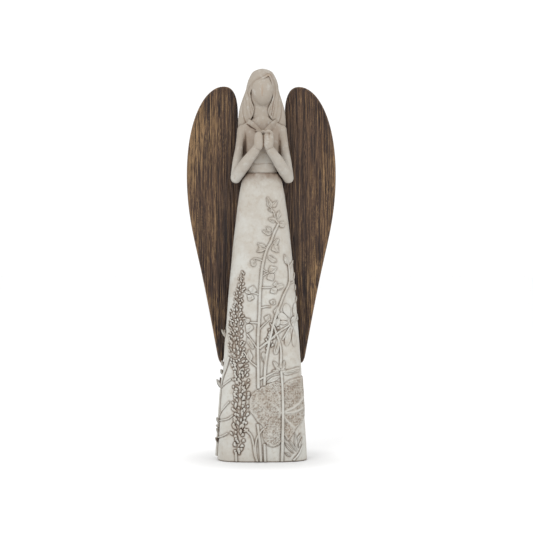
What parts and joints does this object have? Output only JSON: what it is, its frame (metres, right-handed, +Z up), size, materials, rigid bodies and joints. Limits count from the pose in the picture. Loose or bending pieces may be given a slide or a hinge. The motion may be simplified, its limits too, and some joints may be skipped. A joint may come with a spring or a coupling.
{
  "type": "angel figurine",
  "caption": "Standing angel with hands held together at the breast, long flared gown with wildflowers in relief, and flat wood-grained wings.",
  "frame": {"origin": "middle of the flat foot of the gown", "axes": "+Z up, the figure faces -Y, and +X is the figure's own left"},
  "size_m": [0.1548, 0.0628, 0.4],
  "materials": {
    "pale_resin": "stone-look cast resin, matt ivory with a thin grey-brown wash in the hollows",
    "brown_resin": "wood-look cast resin, matt dark brown with paler dry-brushed grain"
  },
  "bodies": {
    "root": {"figure": "pale_resin", "wing_left": "brown_resin", "wing_right": "brown_resin"}
  },
  "joints": []
}
